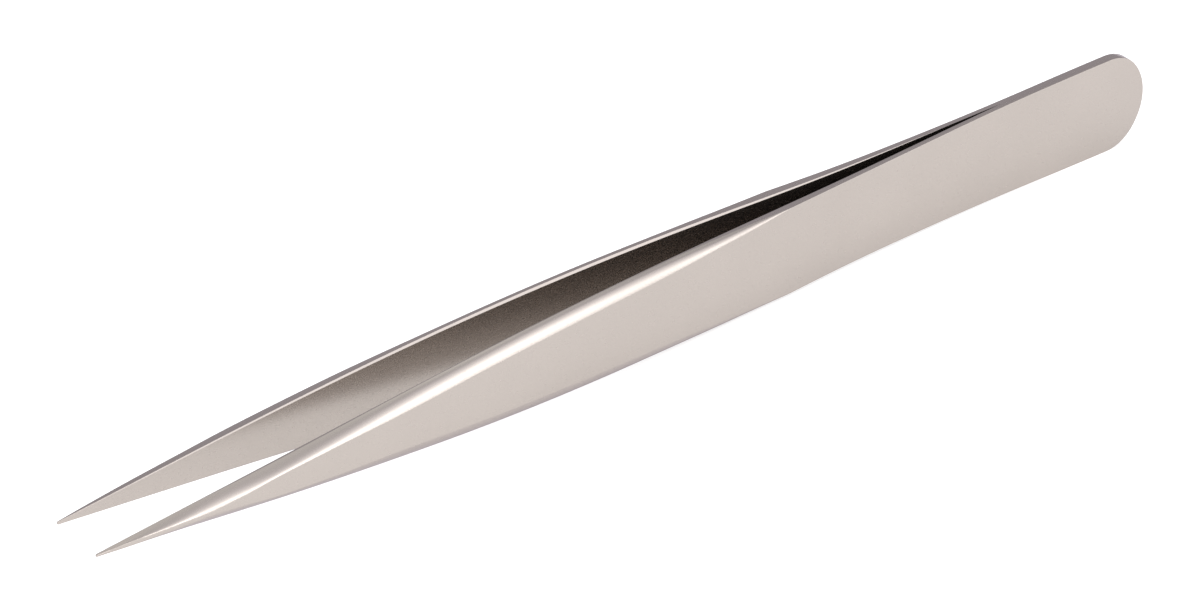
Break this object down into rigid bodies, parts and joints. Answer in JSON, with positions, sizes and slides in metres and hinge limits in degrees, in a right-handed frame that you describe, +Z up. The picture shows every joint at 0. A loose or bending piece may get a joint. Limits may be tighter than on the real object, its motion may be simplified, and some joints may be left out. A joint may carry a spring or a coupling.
{
  "type": "tweezers",
  "caption": "Fine-pointed steel tweezers: bowed, bevelled arms that taper to needle points and are welded flat together at a rounded tail.",
  "frame": {"origin": "middle of the length, on the plane between the arms, level with the lowest edge", "axes": "+X from the points to the tail, +Y from the plane between the arms to the right arm, +Z up, across the width of the arms"},
  "size_m": [0.11, 0.0076, 0.0092],
  "materials": {
    "arm_steel": "fine satin, with brighter ground bevels"
  },
  "bodies": {
    "root": {"right_arm": "arm_steel", "left_arm": "arm_steel"}
  },
  "joints": []
}
